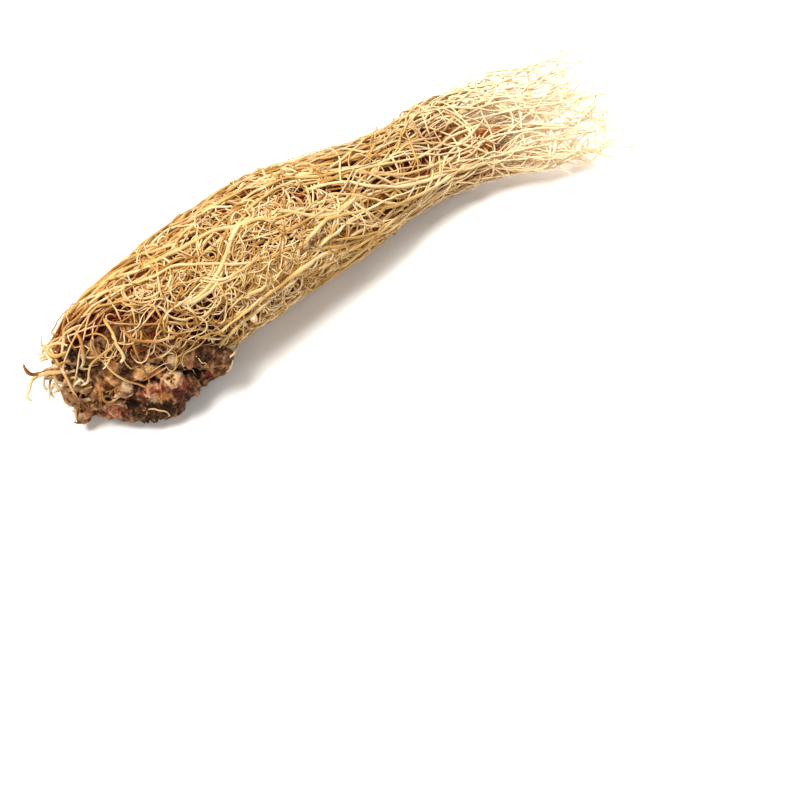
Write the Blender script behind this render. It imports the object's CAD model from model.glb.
import math
import random
from functools import partial

import bmesh
import bpy
from mathutils import Matrix, Vector, noise
from mathutils.bvhtree import BVHTree


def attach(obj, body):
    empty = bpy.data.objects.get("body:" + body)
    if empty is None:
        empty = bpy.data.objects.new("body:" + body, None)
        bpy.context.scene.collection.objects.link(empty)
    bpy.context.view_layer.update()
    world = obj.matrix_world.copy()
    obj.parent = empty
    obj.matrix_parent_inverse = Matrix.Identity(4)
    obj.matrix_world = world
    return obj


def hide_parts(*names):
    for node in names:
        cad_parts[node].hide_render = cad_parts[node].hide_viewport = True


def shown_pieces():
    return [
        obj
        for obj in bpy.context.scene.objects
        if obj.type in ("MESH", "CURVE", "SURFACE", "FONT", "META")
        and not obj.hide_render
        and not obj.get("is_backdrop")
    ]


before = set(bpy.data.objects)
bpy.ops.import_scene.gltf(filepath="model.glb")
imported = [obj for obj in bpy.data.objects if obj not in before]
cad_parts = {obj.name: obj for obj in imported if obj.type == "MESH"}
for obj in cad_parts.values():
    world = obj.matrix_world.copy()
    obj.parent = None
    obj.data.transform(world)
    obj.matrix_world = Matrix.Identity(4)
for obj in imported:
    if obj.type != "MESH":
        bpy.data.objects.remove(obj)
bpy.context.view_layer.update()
mm = 0.001
fullTurn = 2 * math.pi
print("frame loaded")

# The root's form, in mm: lengths run along the sheaf, widths across it.
middle = Vector((-4.0, 5.0, 0.0))  # the footprint's middle, which is the frame's origin
sheafRows = (  # along, middle across, half width, height over the table
    (-95, 2, 4.5, 15), (-88, 1.5, 10.5, 22), (-78, 1, 15, 27), (-62, 2, 17.6, 31), (-42, 5.2, 19, 31.5),
    (-20, 8.8, 19, 29.5), (2, 9.5, 16.5, 26), (24, 12, 13.7, 20), (46, 14.2, 17.3, 14.5),
    (68, 10, 19.3, 12), (92, 7.5, 20, 11),
)
matRows = (  # the tangle of inner roots: along, middle across, half width, underside, top
    (-87, 9, 2, 10, 16), (-78, 6.5, 8.5, 4, 22), (-60, 5.5, 13, 2, 26.5), (-40, 7, 14.5, 1.5, 27),
    (-20, 9, 14.5, 1.5, 25), (0, 10, 12.5, 1.5, 21.8), (20, 12, 10.5, 1.5, 16.6), (36, 13, 9.5, 1.6, 12.6),
    (50, 13.2, 7, 1.8, 9), (62, 12, 2, 2.5, 6),
)
firstSeen = (  # degrees round the sheaf, 0 at the back and 90 on top, and where roots first show
    (0, -88), (50, -87), (80, -78), (97, -69), (112, -60), (135, -51), (180, -46), (225, -52),
    (270, -62), (315, -80), (360, -88),
)
branchRows = (  # the rootstock's branches: along, across, up, radius
    ((-78, 1, 18.5, 3.2), (-72, -3, 19.2, 3.8), (-66, -7.5, 18.2, 3.9), (-60, -11.5, 16.3, 3.8),
     (-54, -15, 13.8, 3.5), (-48.5, -17.3, 11.8, 2.4)),
    ((-76, 2, 18, 3.2), (-70, -0.5, 20.5, 3.6), (-64, -3.5, 21, 3.4), (-60, -5.5, 19.5, 2.6)),
    ((-79, -5, 12, 3.6), (-74, -10, 9.5, 4.0), (-69, -14, 8.8, 4.6), (-64, -16, 8.6, 4.2),
     (-59, -16.6, 9, 2.8)),
    ((-76, 1, 16, 3.6), (-80, -1, 19, 3.2), (-80.4, -2, 21.5, 2.4)),
    ((-75, 1, 13, 4.2), (-82, 3, 13.5, 4.0), (-87, 3, 12, 3.2), (-90, 2, 9.5, 2.2)),
    ((-75, 2, 12, 4.2), (-76, 8, 12, 3.8), (-75, 14, 10, 3.0)),
    ((-76, -4.5, 17, 2.0), (-82, -6.6, 11, 2.1), (-86, -7.2, 7, 2.0), (-90.4, -7.5, 2.9, 2.4)),
    ((-85, -5, 5, 3.0), (-79, -11, 4.8, 3.8), (-71, -15.5, 4.7, 3.9), (-64.5, -18, 4.5, 3.2)),
    ((-65, -15, 7.5, 3.0), (-57, -15.3, 7.5, 2.6), (-50, -15.8, 7, 1.6)),
    ((-76, -8.5, 12.5, 1.8), (-73, -10.6, 15.2, 1.7), (-69, -11.6, 15.4, 1.7), (-66, -14, 13.4, 2.0)),
    ((-83, -1, 6, 1.6), (-88, -4, 7, 1.6), (-90, -1, 7.8, 1.1)),
)
knobRows = (  # middle, radius
    ((-80.2, -2.1, 21.8), 2.5), ((-77, -11.3, 12.8), 2.3), ((-63.8, -13.6, 18.4), 2.0),
    ((-71, 7, 20), 2.6), ((-65.2, -15.2, 13), 2.9), ((-84, 2.6, 16.6), 2.9), ((-75.5, 16.5, 10.5), 2.9),
)
scarRows = (  # a leaf stalk's bowl-shaped scar: its knob's middle and radius, the way it faces, how pale
    ((-65.2, -15.2, 13), 2.9, (-0.3, -0.5, 0.8), 0.9), ((-84, 2.6, 16.6), 2.9, (-0.4, -0.3, 0.85), 0.1),
    ((-75.5, 16.5, 10.5), 2.9, (-0.3, 0.7, 0.6), 0.7), ((-48.5, -17.3, 11.8), 2.3, (0.8, -0.4, 0.3), 0.2),
)
coreMiddle, coreRadii = Vector((-73, -3.5, 11.5)), (9.5, 8.5, 8.5)
# No strand's guide passes these, in mm, which keeps the strands near the solids' box.
limits = {"front": -21.0, "back": 30.2, "rootletBack": 29.5, "rootletTop": 31.9, "bluntEnd": -98.5}


def splineRow(rows, at):  # a smooth curve through the rows
    at = min(max(at, rows[0][0]), rows[-1][0])
    last = len(rows) - 1
    i = next(k for k in range(last) if at <= rows[k + 1][0])
    before, start, end, after = rows[max(i - 1, 0)], rows[i], rows[i + 1], rows[min(i + 2, last)]
    gap = end[0] - start[0]
    t = (at - start[0]) / gap
    found = []
    for k in range(1, len(start)):
        riseIn = (end[k] - before[k]) / (end[0] - before[0]) * gap
        riseOut = (after[k] - start[k]) / (after[0] - start[0]) * gap
        found.append(
            (2 * t**3 - 3 * t**2 + 1) * start[k] + (t**3 - 2 * t**2 + t) * riseIn
            + (3 * t**2 - 2 * t**3) * end[k] + (t**3 - t**2) * riseOut
        )
    return found


def onSheaf(x, angle, share=1.0):  # a point of the sheaf's surface, or at a share of the way out to it
    across, halfWidth, height = splineRow(sheafRows, x)
    up = height / 2 * (1 + share * math.sin(angle))
    return Vector((x, across + halfWidth * share * math.cos(angle), up))


def smoothStep(value, low, high):
    t = min(max((value - low) / (high - low), 0.0), 1.0)
    return t * t * (3 - 2 * t)


# Where the net of rootlets fades in and out, round the sheaf in radians and along it in mm
netEdges = {"angles": ((1.25, 1.75), (2.9, 3.3)), "along": ((-86, -72), (-30, -2))}


def netZone(x, angle):  # 1 where fine rootlets, not long roots, make the surface
    (angleIn, angleOut), (alongIn, alongOut) = netEdges["angles"], netEdges["along"]
    rounded = smoothStep(angle, *angleIn) * (1 - smoothStep(angle, *angleOut))
    return rounded * smoothStep(x, *alongIn) * (1 - smoothStep(x, *alongOut))


def place(point):  # from the rows' mm to the frame's metres
    return (Vector(point) - middle) * mm


# Camera and light
photoView = {
    "position": (-116.4, -205.3, 338.7),
    "target": (-15.0, -46.4, 0.0),
    "lens": 65.0,
    "sensor": 36.0,
    "pixels": 800,
}
lights = {  # spot and aim in mm, size in m, power in W, colour
    "keyLight": ((-260, 170, 620), (-20, 5, 10), 0.42, 8.1, (1.0, 0.985, 0.95)),
    "fillLight": ((-160, -460, 420), (-20, 5, 10), 0.6, 1.4, (1.0, 0.98, 0.96)),
    "tipLight": ((230, 90, 240), (80, 10, 5), 0.2, 0.65, (1.0, 0.985, 0.96)),
}
worldLight = {"Color": (1.0, 0.97, 0.92, 1.0), "Strength": 0.22}


def linkObject(name, data):
    made = bpy.data.objects.new(name, data)
    bpy.context.scene.collection.objects.link(made)
    return made


def aimObject(name, data, spot, aim):  # an object at one spot that looks at another
    made = linkObject(name, data)
    made.location = place(spot)
    made.rotation_euler = (place(aim) - made.location).to_track_quat("-Z", "Y").to_euler()
    return made


def makeCamera():
    data = bpy.data.cameras.new("photoCamera")
    data.lens = photoView["lens"]
    data.sensor_width = photoView["sensor"]
    data.clip_start, data.clip_end = 0.01, 10.0
    bpy.context.scene.camera = aimObject("photoCamera", data, photoView["position"], photoView["target"])


def pixelRay(px, py):  # from the camera through a pixel of the photograph, in mm
    start = Vector(photoView["position"])
    ahead = (Vector(photoView["target"]) - start).normalized()
    right = ahead.cross(Vector((0, 0, 1))).normalized()
    up = right.cross(ahead)
    half = photoView["pixels"] / 2
    reach = half * 2 * photoView["lens"] / photoView["sensor"]
    return start, (ahead * reach + right * (px - half) + up * (half - py)).normalized()


def makeStudio():
    for name, (spot, aim, size, power, colour) in lights.items():
        data = bpy.data.lights.new(name, "AREA")
        data.shape, data.size = "DISK", size
        data.energy, data.color = power, colour
        aimObject(name, data, spot, aim)
    world = bpy.data.worlds.new("studio")
    world.use_nodes = True
    for name, value in worldLight.items():
        world.node_tree.nodes["Background"].inputs[name].default_value = value
    bpy.context.scene.world = world
    bpy.context.scene.view_settings.view_transform = "Standard"


def linear(hexColour):  # an sRGB hex value to linear light
    parts = [int(hexColour[k:k + 2], 16) / 255 for k in (0, 2, 4)]
    return tuple(p / 12.92 if p <= 0.04045 else ((p + 0.055) / 1.055) ** 2.4 for p in parts) + (1.0,)


def addNode(tree, kind, inputs=None, **settings):  # a node with its settings, values and links
    node = tree.nodes.new(kind)
    for name, value in settings.items():
        setattr(node, name, value)
    for name, value in (inputs or {}).items():
        if isinstance(value, bpy.types.Node):
            value = value.outputs[0]  # a node that stands for a value is linked by its first output
        if isinstance(value, bpy.types.NodeSocket):
            tree.links.new(value, node.inputs[name])
        else:
            node.inputs[name].default_value = value
    return node


def setRamp(node, stops):  # stops are (place, hex colour)
    ramp = node.color_ramp
    while len(ramp.elements) < len(stops):
        ramp.elements.new(1.0)
    for element, (at, colour) in zip(ramp.elements, stops):
        element.position = at
        element.color = linear(colour)
    return node


def newMaterial(name, roughness, specular=0.2):
    made = bpy.data.materials.new(name)
    made.use_nodes = True
    shader = made.node_tree.nodes["Principled BSDF"]
    shader.inputs["Roughness"].default_value = roughness
    shader.inputs["Specular IOR Level"].default_value = specular
    return made, partial(addNode, made.node_tree), shader


def layered(add, colour, layers, blend="MIX"):  # a colour with others laid over it, each as (share, colour)
    for share, over in layers:
        over = linear(over) if isinstance(over, str) else over
        mixed = add("ShaderNodeMix", {0: share, 6: colour, 7: over}, data_type="RGBA", blend_type=blend)
        colour = mixed.outputs[2]
    return colour


def cover(add, shader, colour, height, strength, reliefMm):  # gives a shader its colour and relief
    bump = add("ShaderNodeBump", {"Height": height, "Strength": strength, "Distance": reliefMm * mm})
    shader.id_data.links.new(colour, shader.inputs["Base Color"])
    shader.id_data.links.new(bump.outputs[0], shader.inputs["Normal"])


rootSkins = {
    "roughness": 0.62,
    "wrinkleMm": 1.0,
    "reliefMm": 0.12,
    "patchMm": 7,
    "stainMm": 17,
    "bleachedMm": (28, 68),  # from where to where along the sheaf the roots turn pale
    "bleached": 0.9,
    "sunkMm": (0.3, 1.9),  # the depths under the sheaf's surface over which roots darken
    "sunkTint": "D0925C",
    "driedRootSkin": {  # straw to golden tan
        "stops": ((0.0, "7A461A"), (0.3, "AA7A3A"), (0.55, "C79E5C"), (0.8, "DCBA82"), (1.0, "EACFA0")),
        "tip": "F8E2B8", "dirt": "93521C", "tipShare": 0.75,
    },
    "agedRootSkin": {  # older roots inside the sheaf, red-brown to amber
        "stops": ((0.0, "461804"), (0.4, "843C0E"), (0.7, "B4681C"), (1.0, "D49444")),
        "tip": "F0D2A0", "dirt": "5A2208", "tipShare": 0.15,
    },
}


# Dried root skin: thin corky skin shrunk into fine lengthwise wrinkles, dull with a faint waxy gleam.
def driedRootSkin(name):
    own = rootSkins[name]
    made, add, shader = newMaterial(name, rootSkins["roughness"])
    tone, along, share, depth = (
        add("ShaderNodeAttribute", attribute_name=label).outputs["Fac"]
        for label in ("tone", "alongMm", "share", "depthMm")
    )
    around = add("ShaderNodeAttribute", attribute_name="around").outputs["Vector"]
    where = add("ShaderNodeTexCoord").outputs["Object"]
    across = add("ShaderNodeSeparateXYZ", {0: around}).outputs
    onward = add("ShaderNodeMath", {0: along, 1: 0.09}, operation="MULTIPLY")
    grain = add("ShaderNodeCombineXYZ", {0: across[0], 1: across[1], 2: onward})
    fineness = 1.9 / rootSkins["wrinkleMm"]
    wrinkles = add(
        "ShaderNodeTexNoise", {"Vector": grain, "W": tone, "Scale": fineness, "Detail": 2.0},
        noise_dimensions="4D",
    )
    patches, stains = (
        add("ShaderNodeTexNoise", {"Vector": where, "Scale": 1 / (size * mm), "Detail": detail})
        for size, detail in ((rootSkins["patchMm"], 3.0), (rootSkins["stainMm"], 2.0))
    )
    mixed = add("ShaderNodeMath", {0: patches, 1: 0.55, 2: tone}, operation="MULTIPLY_ADD")
    lowered = add("ShaderNodeMath", {0: mixed, 1: 0.28}, operation="SUBTRACT")
    ramp = setRamp(add("ShaderNodeValToRGB", {0: lowered}), own["stops"])
    tipped = add("ShaderNodeMapRange", {0: share, 1: 0.55, 4: own["tipShare"]})
    far = add("ShaderNodeSeparateXYZ", {0: where})
    paleFrom, paleTo = (at * mm for at in rootSkins["bleachedMm"])
    bleached = add("ShaderNodeMapRange", {0: far, 1: paleFrom, 2: paleTo, 4: rootSkins["bleached"]})
    paler = add("ShaderNodeMath", {0: tipped, 1: bleached}, operation="MAXIMUM")
    clean = add("ShaderNodeMath", {0: 1.0, 1: bleached}, operation="SUBTRACT")
    stained = add("ShaderNodeMapRange", {0: stains, 1: 0.52, 2: 0.72, 4: 0.4})
    sunkFrom, sunkTo = rootSkins["sunkMm"]
    sunk = add("ShaderNodeMapRange", {0: depth, 1: sunkFrom, 2: sunkTo})
    spotted, steeped = (
        add("ShaderNodeMath", {0: value, 1: clean}, operation="MULTIPLY") for value in (stained, sunk)
    )
    colour = layered(add, ramp, ((paler, own["tip"]), (spotted, own["dirt"])))
    colour = layered(add, colour, [(steeped, rootSkins["sunkTint"])], "MULTIPLY")
    furrow = add("ShaderNodeMapRange", {0: wrinkles, 1: 0.3, 2: 0.6, 3: 0.72, 4: 1.06})
    furrowed = add("ShaderNodeVectorMath", {0: colour, 1: furrow}, operation="MULTIPLY")
    cover(add, shader, furrowed.outputs[0], wrinkles, 0.7, rootSkins["reliefMm"])
    return made


barkGrains = {"coarse": 4.5, "medium": 1.6, "fine": 0.6, "flake": 1.3}  # in mm
barkColours = {
    "weathered": ((0.05, "1E0A03"), (0.35, "432410"), (0.6, "6C4428"), (0.8, "97683F"), (1.0, "BE905C")),
    "redBark": ((0.05, "3A0C08"), (0.35, "702A1A"), (0.6, "A2533C"), (0.8, "C68866"), (1.0, "E6C09A")),
    "tanBark": ((0.05, "43200E"), (0.35, "8A5428"), (0.6, "B57E48"), (0.8, "D4A671"), (1.0, "EACB98")),
    "paleBark": ((0.05, "5E402A"), (0.35, "A08060"), (0.6, "C4A47E"), (1.0, "E6CEAC")),
}


# Rhizome bark: corky and ringed, grey-brown where it weathered, red where it was scraped, pale on its worn
# ridges and black with soil in its creases.
def rhizomeBark():
    made, add, shader = newMaterial("rhizomeCorkBark", 0.8, 0.15)
    where = add("ShaderNodeTexCoord").outputs["Object"]
    named = {
        name: add("ShaderNodeAttribute", attribute_name=name).outputs["Fac"]
        for name in ("crease", "ridge", "redBark", "tanBark", "paleBark", "paleScar", "soil")
    }
    coarse, medium, fine = (
        add(
            "ShaderNodeTexNoise",
            {"Vector": where, "Scale": 1 / (barkGrains[size] * mm), "Detail": 4.0, "Roughness": 0.6},
        ) for size in ("coarse", "medium", "fine")
    )
    flakes = add("ShaderNodeTexVoronoi", {"Vector": where, "Scale": 1 / (barkGrains["flake"] * mm)})
    blended = add("ShaderNodeMath", {0: medium, 1: 0.7, 2: coarse}, operation="MULTIPLY_ADD")
    gritty = add("ShaderNodeMath", {0: fine, 1: 0.3, 2: blended}, operation="MULTIPLY_ADD")
    tone = add("ShaderNodeMapRange", {0: gritty, 1: 0.74, 2: 1.26})
    ramps = {
        name: setRamp(add("ShaderNodeValToRGB", {0: tone}), stops)
        for name, stops in barkColours.items()
    }
    broken = add("ShaderNodeMapRange", {0: medium, 1: 0.35, 2: 0.55, 3: 0.6})
    layers = [
        (add("ShaderNodeMath", {0: named[name], 1: broken}, operation="MULTIPLY"), ramps[name])
        for name in ("redBark", "tanBark", "paleBark")
    ]
    worn = add("ShaderNodeMapRange", {0: named["ridge"], 1: 0.2, 4: 0.3})
    dark = add("ShaderNodeMapRange", {0: named["crease"], 2: 0.8, 4: 0.92})
    grit = add("ShaderNodeMapRange", {0: fine, 1: 0.38, 2: 0.58, 3: 0.25, 4: 0.95})
    soiled = add("ShaderNodeMath", {0: named["soil"], 1: grit}, operation="MULTIPLY")
    layers += [
        (named["paleScar"], ramps["paleBark"]), (worn, "C49A6C"), (dark, "180500"), (soiled, "200C04"),
    ]
    height = add("ShaderNodeMath", {0: flakes, 1: -0.4, 2: fine}, operation="MULTIPLY_ADD")
    cover(add, shader, layered(add, ramps["weathered"], layers), height, 0.7, 0.25)
    return made


# Plain crumbly matter, such as dried soil and torn papery scales, mottled by one noise.
def mottled(name, stops, sizeMm, roughness, reliefMm):
    made, add, shader = newMaterial(name, roughness)
    where = add("ShaderNodeTexCoord").outputs["Object"]
    grains = add("ShaderNodeTexNoise", {"Vector": where, "Scale": 1 / (sizeMm * mm), "Detail": 4.0})
    ramp = setRamp(add("ShaderNodeValToRGB", {0: grains}), stops)
    cover(add, shader, ramp.outputs[0], grains, 0.8, reliefMm)
    return made


# Shaded inner roots: red-brown where the sheaf is thick, amber where it thins and light comes through.
def shadedTangle():
    made, add, shader = newMaterial("shadedRootTangle", 0.8, 0.15)
    where = add("ShaderNodeTexCoord").outputs["Object"]
    grains = add("ShaderNodeTexNoise", {"Vector": where, "Scale": 1 / (2.2 * mm), "Detail": 4.0})
    redBrown, amber = (
        setRamp(add("ShaderNodeValToRGB", {0: grains}), stops) for stops in (
            ((0.3, "3A1206"), (0.5, "6E2A10"), (0.7, "8E4A20")),
            ((0.3, "8A4418"), (0.5, "B86E2E"), (0.7, "D4954E")),
        )
    )
    along = add("ShaderNodeSeparateXYZ", {0: where})
    thin = add("ShaderNodeMapRange", {0: along, 1: -20 * mm, 2: 40 * mm})
    cover(add, shader, layered(add, redBrown, [(thin, amber)]), grains, 0.8, 0.5)
    return made


def guideCurves(name, paths):  # a hidden curve of one spline for each list of (point, radius in mm)
    curve = bpy.data.curves.new(name, "CURVE")
    curve.dimensions = "3D"
    for path in paths:
        spline = curve.splines.new("POLY")
        spline.points.add(len(path) - 1)
        for spot, (point, radius) in zip(spline.points, path):
            spot.co = (*place(point), 1)
            spot.radius = radius * mm
    made = linkObject(name, curve)
    made.hide_render = True
    return made


def newTree(name, inputs):  # a Geometry Nodes tree, what adds a node to it, and its named inputs
    tree = bpy.data.node_groups.new(name, "GeometryNodeTree")
    tree.interface.new_socket("Geometry", in_out="INPUT", socket_type="NodeSocketGeometry")
    for kind, labels in inputs.items():
        for label in labels:
            tree.interface.new_socket(label, in_out="INPUT", socket_type="NodeSocket" + kind)
    tree.interface.new_socket("Geometry", in_out="OUTPUT", socket_type="NodeSocketGeometry")
    return tree, partial(addNode, tree), tree.nodes.new("NodeGroupInput").outputs


def endTree(tree, geometry, skin):  # what every tree ends in, after its instances are realized
    skinned = addNode(tree, "GeometryNodeSetMaterial", {"Geometry": geometry, "Material": skin})
    tree.links.new(skinned.outputs[0], tree.nodes.new("NodeGroupOutput").inputs[0])
    return tree


# Strands swept along guide curves: each is kinked and given its thickness, and what its skin reads is stored.
def rootSweepTree():
    tree, add, given = newTree("rootSweep", {
        "Object": ("Guides",), "Int": ("Sides", "Seed"), "Material": ("Skin",),
        "Float": ("Step", "Bend", "Bend size", "Kink", "Kink size", "Darkest", "Palest"),
    })
    guides = add("GeometryNodeObjectInfo", {"Object": given["Guides"]}).outputs["Geometry"]
    index = add("GeometryNodeInputIndex")
    tone = add(
        "FunctionNodeRandomValue",
        {2: given["Darkest"], 3: given["Palest"], "ID": index, "Seed": given["Seed"]},
    ).outputs[1]
    toned = add(
        "GeometryNodeStoreNamedAttribute", {"Geometry": guides, "Name": "tone", "Value": tone},
        data_type="FLOAT", domain="CURVE",
    )
    strand = add("GeometryNodeResampleCurve", {"Curve": toned, "Length": given["Step"]}, mode="LENGTH")
    spline = add("GeometryNodeSplineParameter").outputs
    lengthMm = add("ShaderNodeMath", {0: spline["Length"], 1: 1 / mm}, operation="MULTIPLY")
    for label, value in (("alongMm", lengthMm), ("share", spline["Factor"])):
        strand = add("GeometryNodeStoreNamedAttribute", {"Geometry": strand, "Name": label, "Value": value})
    own = add("GeometryNodeInputNamedAttribute", {"Name": "tone"}, data_type="FLOAT")
    offset = add("ShaderNodeMath", {0: own, 1: 37.0}, operation="MULTIPLY")
    spot = add("GeometryNodeInputPosition")
    pushes = []
    for size, height in (("Bend size", "Bend"), ("Kink size", "Kink")):
        scale = add("ShaderNodeMath", {0: 1.0, 1: given[size]}, operation="DIVIDE")
        wave = add(
            "ShaderNodeTexNoise", {"Vector": spot, "W": offset, "Scale": scale, "Detail": 1.0},
            noise_dimensions="4D",
        ).outputs[1]
        centred = add("ShaderNodeVectorMath", {0: wave, 1: (0.5, 0.5, 0.5)}, operation="SUBTRACT")
        pushes.append(add("ShaderNodeVectorMath", {0: centred, "Scale": given[height]}, operation="SCALE"))
    push = add("ShaderNodeVectorMath", {0: pushes[0], 1: pushes[1]})
    moved = add("ShaderNodeVectorMath", {0: spot, 1: push})
    parts = add("ShaderNodeSeparateXYZ", {0: moved}).outputs
    radius = add("GeometryNodeInputRadius")
    lifted = add("ShaderNodeMath", {0: parts[2], 1: radius}, operation="MAXIMUM")
    resting = add("ShaderNodeCombineXYZ", {0: parts[0], 1: parts[1], 2: lifted})
    kinked = add("GeometryNodeSetPosition", {"Geometry": strand, "Position": resting})
    knots = add(
        "ShaderNodeTexNoise", {"Vector": spot, "W": offset, "Scale": 1 / (3.5 * mm), "Detail": 1.0},
        noise_dimensions="4D",
    )
    swell = add("ShaderNodeMapRange", {0: knots, 1: 0.25, 2: 0.75, 3: 0.72, 4: 1.3})
    uneven = add("ShaderNodeMath", {0: radius, 1: swell}, operation="MULTIPLY")
    ring = add("GeometryNodeCurvePrimitiveCircle", {"Resolution": given["Sides"], "Radius": 1.0})
    marked = add(
        "GeometryNodeStoreNamedAttribute", {"Geometry": ring, "Name": "around", "Value": spot},
        data_type="FLOAT_VECTOR", domain="POINT",
    )
    swept = add(
        "GeometryNodeCurveToMesh",
        {"Curve": kinked, "Profile Curve": marked, "Scale": uneven, "Fill Caps": True},
    )
    smooth = add("GeometryNodeSetShadeSmooth", {"Geometry": swept})
    whole = add("GeometryNodeRealizeInstances", {"Geometry": smooth})
    return endTree(tree, whole, given["Skin"])


def strewTree():  # a small piece strewn over a form, as thickly as the named attribute says
    tree, add, given = newTree("strewnPieces", {
        "Object": ("Form", "Piece"), "String": ("Strewing",), "Int": ("Seed",), "Material": ("Skin",),
        "Float": ("Density", "Smallest", "Largest", "Tilt"),
    })
    form = add("GeometryNodeObjectInfo", {"Object": given["Form"]}).outputs["Geometry"]
    piece = add("GeometryNodeObjectInfo", {"Object": given["Piece"], "As Instance": True}).outputs["Geometry"]
    strewing = add("GeometryNodeInputNamedAttribute", {"Name": given["Strewing"]}, data_type="FLOAT")
    density = add("ShaderNodeMath", {0: strewing, 1: given["Density"]}, operation="MULTIPLY")
    spots = add(
        "GeometryNodeDistributePointsOnFaces",
        {"Mesh": form, "Density": density, "Seed": given["Seed"]}, distribute_method="RANDOM",
    ).outputs
    back = add("ShaderNodeMath", {0: given["Tilt"], 1: -1.0}, operation="MULTIPLY")
    low = add("ShaderNodeCombineXYZ", {0: back, 1: back, 2: 0.0})
    high = add("ShaderNodeCombineXYZ", {0: given["Tilt"], 1: given["Tilt"], 2: fullTurn})
    turn = add("FunctionNodeRandomValue", {0: low, 1: high, "Seed": 1}, data_type="FLOAT_VECTOR")
    turned = add("FunctionNodeEulerToRotation", {0: turn})
    laid = add("FunctionNodeRotateRotation", {0: spots["Rotation"], 1: turned}, rotation_space="LOCAL")
    size = add(
        "FunctionNodeRandomValue", {2: given["Smallest"], 3: given["Largest"], "Seed": given["Seed"]}
    ).outputs[1]
    strewn = add(
        "GeometryNodeInstanceOnPoints",
        {"Points": spots["Points"], "Instance": piece, "Rotation": laid, "Scale": size},
    )
    whole = add("GeometryNodeRealizeInstances", {"Geometry": strewn})
    spot = add("GeometryNodeInputPosition")
    lumps = add("ShaderNodeTexNoise", {"Vector": spot, "Scale": 1 / (0.6 * mm)}).outputs[1]
    centred = add("ShaderNodeVectorMath", {0: lumps, 1: (0.5, 0.5, 0.5)}, operation="SUBTRACT")
    push = add("ShaderNodeVectorMath", {0: centred, "Scale": 0.8 * mm}, operation="SCALE")
    rough = add("GeometryNodeSetPosition", {"Geometry": whole, "Offset": push})
    return endTree(tree, rough, given["Skin"])


def grow(name, tree, values):  # runs a tree on an empty mesh and keeps the result as a plain mesh
    host = linkObject(name, bpy.data.meshes.new(name))
    modifier = host.modifiers.new("nodes", "NODES")
    modifier.node_group = tree
    for socket in tree.interface.items_tree:
        if socket.in_out == "INPUT" and socket.name in values:
            modifier[socket.identifier] = values[socket.name]
    graph = bpy.context.evaluated_depsgraph_get()
    mesh = bpy.data.meshes.new_from_object(
        host.evaluated_get(graph), preserve_all_data_layers=True, depsgraph=graph
    )
    host.modifiers.clear()
    host.data = mesh
    print(name, "faces", len(mesh.polygons))
    return host


def finishPiece(piece, nodeName, slotName):
    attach(piece, "root")
    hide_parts(nodeName)


def joinLoops(shape, loops, capped=True):  # faces between closed loops of vertices, and over both ends
    for first, second in zip(loops, loops[1:]):
        for j in range(len(first)):
            k = (j + 1) % len(first)
            shape.faces.new((first[j], first[k], second[k], second[j]))
    if capped:
        shape.faces.new(loops[0][::-1])
        shape.faces.new(loops[-1])


def meshObject(name, shape, hidden=False):
    mesh = bpy.data.meshes.new(name)
    shape.to_mesh(mesh)
    shape.free()
    made = linkObject(name, mesh)
    made.hide_render = hidden
    return made


def formMesh(name, pointAt, alongFrom, alongTo, rings, columns):  # a closed loft of pointAt(x, angle)
    shape = bmesh.new()
    loops = []
    for i in range(rings + 1):
        x = alongFrom + (alongTo - alongFrom) * i / rings
        loops.append([shape.verts.new(place(pointAt(x, fullTurn * j / columns))) for j in range(columns)])
    joinLoops(shape, loops)
    bmesh.ops.recalc_face_normals(shape, faces=shape.faces)
    return meshObject(name, shape)


def setPointValues(mesh, name, values):
    layer = mesh.attributes.new(name, "FLOAT", "POINT")
    layer.data.foreach_set("value", values)


def storeDepths(piece):  # how far each point lies under the sheaf's surface, in mm: its skin is darker there
    rows = {x: splineRow(sheafRows, x) for x in range(-110, 111)}
    depths = []
    for point in piece.data.vertices:
        x, y, z = point.co / mm + middle
        across, halfWidth, height = rows[round(x)]
        share = max(math.hypot((y - across) / halfWidth, z / (height / 2) - 1), 0.1)
        depths.append(math.hypot(y - across, z - height / 2) * (1 / share - 1))
    setPointValues(piece.data, "depthMm", depths)


sweepSizes = ("Step", "Bend", "Bend size", "Kink", "Kink size")  # what a piece's "sweep" lists, in mm
rootFinish = ("roots", "dried_root")  # the node that a piece replaces, and its slot
barkFinish = ("rootstock", "bark")


# Grows strands along paths into a finished piece; own is its dictionary, and changed what differs from that
def growStrands(name, tree, paths, own, skin, finish=rootFinish, tinted=False, **changed):
    own = {**own, **changed}
    guides = guideCurves(name + "Guides", paths)
    values = {label: size * mm for label, size in zip(sweepSizes, own["sweep"])}
    values.update(Sides=own["sides"], Darkest=own["tones"][0], Palest=own["tones"][1], Seed=own["sweepSeed"])
    piece = grow(name, tree, {**values, "Guides": guides, "Skin": skin})
    bpy.data.objects.remove(guides)
    if tinted:
        storeDepths(piece)
    finishPiece(piece, *finish)


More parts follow.
